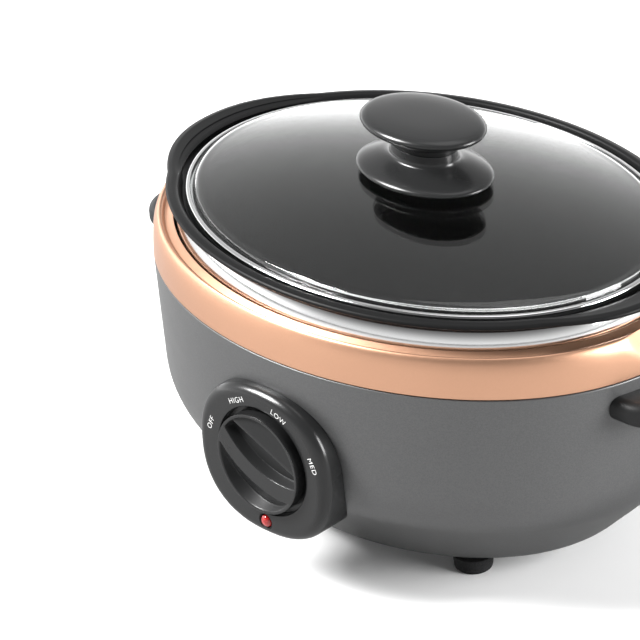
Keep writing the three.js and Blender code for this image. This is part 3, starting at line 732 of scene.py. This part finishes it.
def fieldDepth(x, z, d):
    angle = math.radians(d["angle"])
    s = x * math.cos(angle) + z * math.sin(angle)
    t = x * math.sin(angle) - z * math.cos(angle)
    deep, rim = d["depth"], d["field"]
    upperEdge = d["bow"] - math.sqrt(d["barUpper"] ** 2 - t * t)
    lowerEdge = d["bow"] - math.sqrt(d["barLower"] ** 2 - t * t)
    fromRim = rim - math.hypot(x, z)
    step = max(d["step"] + (d["crease"] - s) * d["stepSlope"], d["step"] * 0.3)
    trench = (d["crease"] - s) * d["wallSlope"] + step
    upper = softMax(step, softMin(trench, deep, d["blend"]), d["lip"])
    upper = softMin(upper, (s - upperEdge) * d["wallSlope"], d["blend"])
    upper = softMin(upper, fromRim * d["wallSlope"], d["blend"])
    lowerFloor = deep * (lowerEdge - s + d["lowerRise"]) / (lowerEdge + d["lowerCrease"] + d["lowerRise"])
    lower = softMin(min(lowerFloor, deep), (lowerEdge - s) * d["wallSlope"], d["blend"])
    lower = softMin(lower, fromRim * deep / (rim - d["lowerCrease"]), d["blend"])
    return softMax(0, upper, d["lip"]) + softMax(0, lower, d["lip"])


def makeDial(d):
    face = [(d["field"] * k / d["rings"], d["face"], 0) for k in range(1, d["rings"] + 1)]
    side = [(d["radius"] - 0.01, d["face"], d["edge"]), (d["radius"], d["face"] - 0.3, 0.3),
            (d["radius"], d["back"], 0.4), (0, d["back"])]
    line = [(0, d["face"])] + face + side
    bm = spinRound(line, False, d["steps"], 4)
    for v in bm.verts:
        if math.hypot(v.co.x, v.co.y) < d["field"] + 0.3 and v.co.z > d["face"] - 0.01:
            v.co.z -= fieldDepth(v.co.x, v.co.y, d)
    disc = facing(bm, front, 0, dialHeight)
    return cutOut(disc, [facing(rod(d["socket"], 100, d["socketFloor"]), front, 0, dialHeight)])


# Painted shade: the steep walls and the trench beside the bar take the black plastic finish, standing in for the
# shade that falls in these recesses
def paintTrenchShade(mesh, d):
    mesh.materials.append(finishes["black_plastic"])
    angle = math.radians(d["angle"])
    for face in mesh.polygons:
        x, y, z = face.center / mm
        z -= dialHeight
        depth = y - dialLow.y
        radius = math.hypot(x, z)
        s = x * math.cos(angle) + z * math.sin(angle)
        pastBar = s > -d["bow"] + d["barUpper"] - d["shadeMargin"]
        sunk = depth > d["step"] + d["shadeEdge"] or s < d["crease"] - d["shadeMargin"]
        rimWall = s < 0 and radius > d["lowerCrease"] - d["shadeEdge"]
        steep = d["shadeFrom"] < depth < d["depth"] + d["shadePast"] and radius < d["field"]
        if ((pastBar and sunk) or rimWall) and steep:
            # painted shade: this recessed face takes the black plastic finish
            face.material_index = 1


dialPiece = finishPiece("dialKnob", makeDial(dial), "dial", "grey_plastic", ["dial_knob"], sharp=50)
# The dial's trench and steep walls get painted shade through a second, black plastic finish
paintTrenchShade(dialPiece.data, dial)
print("dial made")


# Pilot light: a domed red lens in a dark seat
lens = {
    "dome": [(0, 111), (3.2, 111, 0.2), (3.2, 119.4, 0.4), (2.9, 120.2, 0.9), (1.8, 121.1, 1.2), (0, 121.3)],
    "seat": [(3.55, 118.7), (4.2, 118.7), (4.2, 120.05, 0.2), (3.9, 120.2, 0.2), (3.55, 119.4, 0.3)],
}
dome = facing(spinRound(lens["dome"], closed=False), front, 0, lensHeight)
finishPiece("pilotLens", dome, "base", "red_lens", ["indicator_lens"])
seatRing = facing(spinRound(lens["seat"]), front, 0, lensHeight)
finishPiece("lensSeat", seatRing, "base", "black_plastic")

# Printed words round the dial, and the marks at the bar's pointing end
words = {
    "size": 4.0, "thickness": 0.05, "thinning": -0.015, "spacing": 1.15,
    "places": {"OFF": (-33, 9.3, 68), "HIGH": (-15, 28, 25), "LOW": (12.3, 28.5, -22), "MED": (33, 9.6, -64)},
}


def printWord(text, x, z, angle, w):
    curve = bpy.data.curves.new("word", "FONT")
    curve.body = text
    curve.size = w["size"]
    curve.extrude = w["thickness"] / 2
    curve.offset = w["thinning"]
    curve.space_character = w["spacing"]
    curve.align_x, curve.align_y = "CENTER", "CENTER"
    holder = bpy.data.objects.new("word", curve)
    scene.collection.objects.link(holder)
    bpy.context.view_layer.update()
    mesh = bpy.data.meshes.new_from_object(holder.evaluated_get(bpy.context.evaluated_depsgraph_get()))
    bpy.data.objects.remove(holder)
    bpy.data.curves.remove(curve)
    bm = bmesh.new()
    bm.from_mesh(mesh)
    bpy.data.meshes.remove(mesh)
    turned(bm, Matrix.Translation((0, 0, housing["face"])) @ Matrix.Rotation(math.radians(angle), 4, "Z"))
    finishPiece("word." + text, facing(bm, front, x, dialHeight + z), "base", None, material=paleInk)


for text, (x, z, angle) in words["places"].items():
    printWord(text, x, z, angle, words)

marks = {
    "lines": 3, "length": 5.2, "shorter": 1.1, "stagger": 0.4, "width": 0.28, "spacing": 0.85, "thickness": 0.1,
    "sink": 0.02, "at": (-19.6, 3.6), "angle": -46, "dot": 0.38, "dotAt": (-23.0, 7.4),
}


def makeMarks(m):
    bm = bmesh.new()
    height = dial["face"] - m["sink"]
    for i in range(m["lines"]):
        offset = (i - (m["lines"] - 1) / 2) * m["spacing"]
        made = bmesh.ops.create_cube(bm, size=1)["verts"]
        scale = Matrix.Diagonal((m["length"] - m["shorter"] * i, m["width"], m["thickness"], 1))
        spin = Matrix.Rotation(math.radians(m["angle"]), 4, "Z")
        shift = Matrix.Translation((*m["at"], height))
        aside = Matrix.Translation((m["stagger"] * i, -offset, 0))
        bmesh.ops.transform(bm, matrix=shift @ spin @ aside @ scale, verts=made)
    dot = bmesh.ops.create_cone(bm, cap_ends=True, segments=20, radius1=m["dot"], radius2=m["dot"],
                                depth=m["thickness"])
    bmesh.ops.translate(bm, verts=dot["verts"], vec=(*m["dotAt"], height))
    bmesh.ops.recalc_face_normals(bm, faces=bm.faces)
    return facing(bm, front, 0, dialHeight)


finishPiece("dialMarks", makeMarks(marks), "dial", None, material=darkInk)
print("words and marks made")


# Handles: round-nosed grips with a finger hollow below
handle = {
    "root": 120, "reach": handleHigh.x, "half": handleHigh.y - ovalY, "low": handleLow.z, "high": handleHigh.z,
    "corner": 18, "round": 5.2, "gap": 0.3, "slices": 14, "sliceAt": 152,
    "wall": 5, "hollowRoot": 140, "hollowTop": 112.6, "hollowRound": 1.2, "hollowBelow": 5,
}


def edgesWhere(bm, upright, test):
    return [e for e in bm.edges
            if (abs(e.verts[0].co.z - e.verts[1].co.z) > 1) == upright and test(e.verts)]


def sliceAt(bm, point, normal):
    bmesh.ops.bisect_plane(bm, geom=bm.verts[:] + bm.edges[:] + bm.faces[:], plane_co=point, plane_no=normal)


def makeHandle(h, side):
    reach, half = h["reach"], h["half"]
    bm = makeBlock((h["root"], -half, h["low"]), (reach, half, h["high"]))
    nose = edgesWhere(bm, True, lambda verts: all(v.co.x > reach - 1 for v in verts))
    roundEdges(bm, nose, h["corner"], 14)
    rim = edgesWhere(bm, False, lambda verts: any(v.co.x > h["root"] + 1 for v in verts))
    roundEdges(bm, rim, h["round"], 8)
    for i in range(1, h["slices"]):
        sliceAt(bm, (0, -half + 2 * half * i / h["slices"], 0), (0, 1, 0))
    sliceAt(bm, (h["sliceAt"], 0, 0), (1, 0, 0))
    for v in bm.verts:
        if v.co.x < h["root"] + 1:
            v.co.x = wallEnd(v.co.y, v.co.z) + h["gap"]
    bmesh.ops.recalc_face_normals(bm, faces=bm.faces)
    reach, half, top = reach - h["wall"], half - h["wall"], h["hollowTop"]
    hollow = makeBlock((h["hollowRoot"], -half, h["low"] - h["hollowBelow"]), (reach, half, top))
    corners = edgesWhere(hollow, True, lambda verts: all(v.co.x > reach - 1 for v in verts))
    roundEdges(hollow, corners, h["corner"] - h["wall"], 12)
    roof = edgesWhere(hollow, False, lambda verts: all(v.co.z > top - 0.1 for v in verts)
                      and any(v.co.x > h["hollowRoot"] + 1 for v in verts))
    roundEdges(hollow, roof, h["hollowRound"], 4)
    bm = cutOut(bm, [hollow])
    if side < 0:
        turned(bm, Matrix.Rotation(math.pi, 4, "Z"))
    return bm


for name, side in (("left", -1), ("right", 1)):
    finishPiece("handle." + name, makeHandle(handle, side), "base", "black_plastic", ["handle_" + name], sharp=38)

# Cord outlet at the back
outlet = {
    "profile": [(3.6, 102), (6.4, 102), (6.4, 112.3), (9.4, 112.3, 0.2), (9.4, 113, 0.4), (8, 114, 0.6),
                (3.6, 114, 0.6)],
    "steps": 56,
}
gland = facing(spinRound(outlet["profile"], steps=outlet["steps"]), back, 0, glandHeight)
finishPiece("cordOutlet", gland, "base", "black_plastic", ["cord_gland"])

# Bottom cover plate
cover = {"half": (88, 62), "rim": 6, "rise": 0.2, "low": 8.2, "high": 9.7, "bolt": 2.8, "hole": 2}


def makeCover(c):
    long, short = c["half"]
    line = [(0, 0, c["low"]), (long - c["rim"], short - c["rim"], c["low"], 1),
            (long, short, c["low"] + c["rise"], 0.3), (long, short, c["high"], 0.2), (0, 0, c["high"])]
    plate = spinOval(soften(line, closed=False), False, 128)
    holes = [rod(c["bolt"], 0, 20)]
    for x, y in footSpots.values():
        holes.append(turned(rod(c["hole"], 0, 20), Matrix.Translation((x, y - ovalY, 0))))
    return cutOut(plate, holes)


finishPiece("bottomCover", makeCover(cover), "base", "plain_steel", ["bottom_cover"])
print("handles, outlet and cover made")


# Pot: cast wall, a seat for the lid, a wide flange and an ear at each long end
pot = {
    "heel": (113.9, 81.5, 80), "corner": 34, "wall": 2.4, "mouth": (124, 92), "flange": (141, 106.8),
    "lidSeat": 154.6, "earReach": 7.6, "earHalf": 53, "earPower": 2.6,
}


def potTurn(depth):
    long, short, height = pot["heel"]
    return [(long + inset, short + inset, z)
            for inset, z in arc(-pot["corner"], height, pot["corner"] - depth, -90, 0, 14)]


def earBulge(y):
    return pot["earReach"] * max(0, 1 - (abs(y) / pot["earHalf"]) ** pot["earPower"])


def makePot(p):
    floor = p["heel"][2] - p["corner"]
    seat = p["lidSeat"]
    inner = [(0, 0, floor)] + potTurn(0) + [(*p["mouth"], 152.5, 1.2), (124.6, 92.6, seat, 0.6)]
    lip = [(131.8, 99.9, seat, 1), (134, 101, 158.6, 1.2, 0.6), (135.8, 101.7, 159.4, 1, 1),
           (137.4, 103.3, 159.6, 1, 1), (140.1, 105.9, 159, 1, 1), (*p["flange"], 157.7, 1, 1),
           (140.1, 105.9, 156.4, 1, 1), (137.5, 104.2, 156.2, 0.8, 0.7)]
    seating = [(136.5, 103.4, 153.9, 0.4), (130.4, 99.4, 153.9, 0.3), (129.8, 98.4, 152.3, 0.4),
               (126.6, 94.6, 152.3, 0.6), (126.4, 94.4, 150)]
    outer = potTurn(-p["wall"])[::-1] + [(0, 0, floor - p["wall"])]
    return spinOval(soften(inner + lip + seating + outer, closed=False), False, 288, bulge=earBulge)


finishPiece("potBowl", makePot(pot), "pot", "non_stick", ["cooking_pot"], sharp=40)
print("pot made")


# Lid: a glass dome held at its edge by a steel ring
glass = {
    "oval": (123, 91.4), "top": glassHigh.z, "foot": 162, "sheet": 4, "bore": 4, "rings": 14, "firstShare": 0.06,
    "edgeAbove": [(125.2, 93.6, 160.4, 0.8), (126.1, 94.5, 158.1, 0.3), (128.8, 97.1, 158)],
    "edgeBelow": [(123.9, 92.3, 156.6, 0.4), (124.8, 93.2, 155.9, 0.4), (128.8, 97.1, 155.9)],
}


def domeLine(drop):
    line = [(glass["bore"], glass["bore"], glass["top"] - drop)]
    for k in range(1, glass["rings"] + 1):
        share = glass["firstShare"] + (1 - glass["firstShare"]) * k / glass["rings"]
        height = glass["top"] - (glass["top"] - glass["foot"]) * share ** 2 - drop
        line.append((glass["oval"][0] * share, glass["oval"][1] * share, height))
    return line


above = domeLine(0)[:-1] + [(*glass["oval"], glass["foot"], 3)] + glass["edgeAbove"]
below = domeLine(glass["sheet"])[:-1] + [(*glass["oval"], glass["foot"] - glass["sheet"], 2)] + glass["edgeBelow"]
domeShell = spinOval(soften(above + below[::-1]), steps=224)
finishPiece("lidGlass", domeShell, "lid", "lid_glass", ["lid_glass"], sharp=60)

# Steel ring folded over the edge of the glass
ring = {
    "profile": [(129.4, 97.7, 155, 0.3), (*lidOval, 155.8, 0.4), (*lidOval, 158.2, 0.7), (129.2, 97.5, 158.9, 0.5),
                (127.9, 96.2, 159, 0.4), (127.5, 95.8, 158.4, 0.2), (129.2, 97.5, 158.3), (129.2, 97.5, 155.6),
                (126.4, 94.7, 155.6), (126.4, 94.7, 155, 0.2)],
}
finishPiece("lidRing", spinOval(soften(ring["profile"]), steps=224), "lid", "polished_steel", ["lid_rim"])

# Knob: two oval tiers on a waist
knob = {
    "skirtOval": (37.6, 26.7), "capOval": (34.3, 24.8), "waistOval": (18.2, 12.8), "bore": 2.7,
    "skirt": [(0.94, 176.7, 0.8), (0.99, 177.3, 9), (1, 178.2, 9), (0.975, 179.3, 9), (0.9, 180.5, 9),
              (0.75, 182.2, 9), (0.58, 183.7, 9)],
    "waist": [(1.06, 184.9, 0.9), (1, 186.4, 0.9), (1, 190.8, 0.3)],
    "capWaist": [(1, 191.1, 0.3), (1.04, 194.4, 2)],
    "cap": [(0.68, 197.2, 9), (0.88, 199.4, 9), (0.97, 200.8, 9), (1, 202.2, 9), (0.99, 203.3, 9),
            (0.95, 204.4, 9), (0.87, 205.3, 9), (0.6, 206.15, 9), (0.3, 206.45, 9)],
}


def tier(oval, lines):
    return [(oval[0] * share, oval[1] * share, *rest) for share, *rest in lines]


skirtLine = [(0, 0, 176.7)] + tier(knob["skirtOval"], knob["skirt"]) + tier(knob["waistOval"], knob["waist"])
skirtLine.append((0, 0, 190.8))
skirt = cutOut(spinOval(soften(skirtLine, closed=False), False, 128), [rod(knob["bore"], 170, 187.3)])
finishPiece("knobSkirt", skirt, "lid", "grey_plastic", ["knob_skirt"])
capLine = [(0, 0, 191.1)] + tier(knob["waistOval"], knob["capWaist"]) + tier(knob["capOval"], knob["cap"])
capLine.append((0, 0, 206.5))
cap = spinOval(soften(capLine, closed=False), False, 128)
finishPiece("knobCap", cap, "lid", "grey_plastic", ["knob_cap"])
print("lid made")


# Floor, lights, camera
studio = {
    "floorSize": 9, "floorShade": 0.38, "floorSeen": 0.95,
    "horizon": 3.7, "sky": 0.36, "horizonHeight": 0.155, "bright": (-0.7, 0.71, 0), "front": 0.24,
    "turn": (-0.5, 0.6),
    "lights": {
        # place, target, width, height, watts
        "keyBox": ((-1.42, -1.33, 1.8), (0, 0, 0.1), 0.9, 0.9, 140),
        "rightBox": ((2.1, 0.75, 0.95), (0, 0, 0.08), 1.2, 1.2, 90),
        "topBox": ((0, 0.3, 2.4), (0, 0, 0.1), 1.4, 1.4, 8),
    },
    "camera": (1.449965, -1.538263 + ovalY * mm, 1.281180),
    "right": (0.72899, 0.68301, -0.04544), "up": (-0.30578, 0.38432, 0.87109),
    "back": (0.61243, -0.62112, 0.48901),
    "lens": 281.53, "sensor": 36, "shift": (-0.0202, 0.003), "clip": (0.1, 50),
}


def makeFloor(s):
    bm = bmesh.new()
    bmesh.ops.create_grid(bm, x_segments=2, y_segments=2, size=s["floorSize"])
    mesh = bpy.data.meshes.new("floor")
    bm.to_mesh(mesh)
    bm.free()
    floor = bpy.data.objects.new("floor", mesh)
    scene.collection.objects.link(floor)
    # The camera sees a paler floor than the cooker reflects
    material, tree, shader, where = startMaterial("paleFloor", {"Roughness": 0.9, "Specular IOR Level": 0.1})
    shade = s["floorShade"]
    colour = useGroup(tree, driftGroup, {"Vector": where, "Scale": 3.0, "Speck": 0.5,
                                         "Shade One": (shade, shade, shade, 1),
                                         "Shade Two": (shade * 1.02, shade * 1.02, shade * 1.02, 1)})
    seen = addNode(tree, "ShaderNodeLightPath").outputs["Is Camera Ray"]
    pale = (*[s["floorSeen"]] * 3, 1)
    paper = addNode(tree, "ShaderNodeMix", {0: seen, 6: colour, 7: pale}, data_type="RGBA")
    tree.links.new(paper.outputs[2], shader.inputs["Base Color"])
    mesh.materials.append(material)


# Bright behind the cooker near the horizon, and dim in front of it
def makeWorld(s):
    world = bpy.data.worlds.new("studio")
    world.use_nodes = True
    scene.world = world
    tree = world.node_tree
    background = tree.nodes["Background"]
    where = tree.nodes.new("ShaderNodeTexCoord").outputs["Generated"]
    height = addNode(tree, "ShaderNodeSeparateXYZ", {"Vector": where}).outputs["Z"]
    share = addNode(tree, "ShaderNodeMath", {0: height, 1: s["horizonHeight"]}, operation="DIVIDE").outputs[0]
    square = addNode(tree, "ShaderNodeMath", {0: share, 1: share}, operation="MULTIPLY").outputs[0]
    under = addNode(tree, "ShaderNodeMath", {0: square, 1: 1.0}, operation="ADD").outputs[0]
    glow = addNode(tree, "ShaderNodeMath", {0: s["horizon"], 1: under}, operation="DIVIDE").outputs[0]
    total = addNode(tree, "ShaderNodeMath", {0: glow, 1: s["sky"]}, operation="ADD").outputs[0]
    facingBack = addNode(tree, "ShaderNodeVectorMath", {0: where, 1: s["bright"]}, operation="DOT_PRODUCT")
    side = addNode(tree, "ShaderNodeMapRange",
                   {"Value": facingBack.outputs["Value"], "From Min": s["turn"][0],
                    "From Max": s["turn"][1], "To Min": s["front"]},
                   interpolation_type="SMOOTHSTEP").outputs["Result"]
    level = addNode(tree, "ShaderNodeMath", {0: total, 1: side}, operation="MULTIPLY").outputs[0]
    tree.links.new(level, background.inputs["Strength"])
    background.inputs["Color"].default_value = (1, 1, 1, 1)


def makeLights(s):
    for name, (spot, target, width, height, watts) in s["lights"].items():
        data = bpy.data.lights.new(name, "AREA")
        data.shape = "RECTANGLE"
        data.size, data.size_y, data.energy = width, height, watts
        light = bpy.data.objects.new(name, data)
        scene.collection.objects.link(light)
        light.location = spot
        light.rotation_euler = (Vector(target) - Vector(spot)).to_track_quat("-Z", "Y").to_euler()


def makeCamera(s):
    data = bpy.data.cameras.new("camera")
    data.lens, data.sensor_width = s["lens"], s["sensor"]
    data.shift_x, data.shift_y = s["shift"]
    data.clip_start, data.clip_end = s["clip"]
    camera = bpy.data.objects.new("camera", data)
    scene.collection.objects.link(camera)
    axes = Matrix((s["right"], s["up"], s["back"])).transposed()
    camera.matrix_world = Matrix.Translation(s["camera"]) @ axes.to_4x4()
    scene.camera = camera


makeFloor(studio)
makeWorld(studio)
makeLights(studio)
makeCamera(studio)
scene.view_settings.view_transform = "Standard"
print("studio made")
